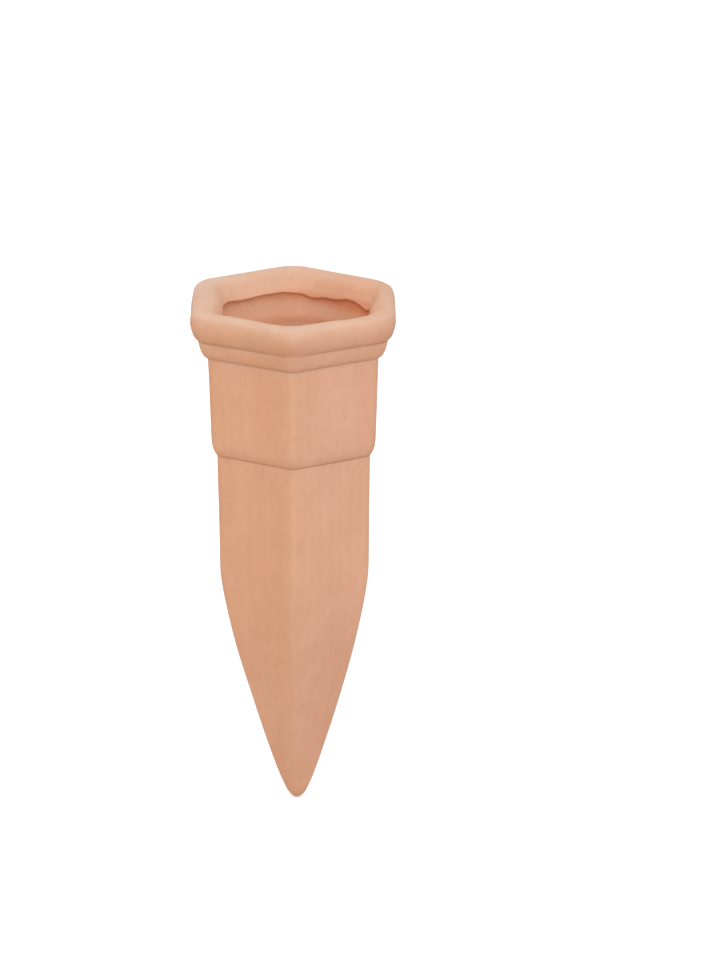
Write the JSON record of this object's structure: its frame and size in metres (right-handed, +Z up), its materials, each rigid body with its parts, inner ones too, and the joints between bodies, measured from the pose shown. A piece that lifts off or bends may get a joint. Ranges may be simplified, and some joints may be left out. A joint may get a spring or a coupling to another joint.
{
  "type": "self watering spike",
  "caption": "Hollow six-sided terracotta spike with a rolled rim for an upturned bottle, a plain collar above the soil and a long porous point that lets water seep into it.",
  "frame": {"origin": "on the axis at the collar's lower edge, where the soil's surface comes", "axes": "+Z up along the spike's axis towards the mouth, +X square to one of the six flats"},
  "size_m": [0.0644, 0.0712, 0.1707],
  "materials": {
    "terracotta": "matt, unglazed"
  },
  "bodies": {
    "root": {"terracotta_spike": "terracotta"}
  },
  "joints": []
}
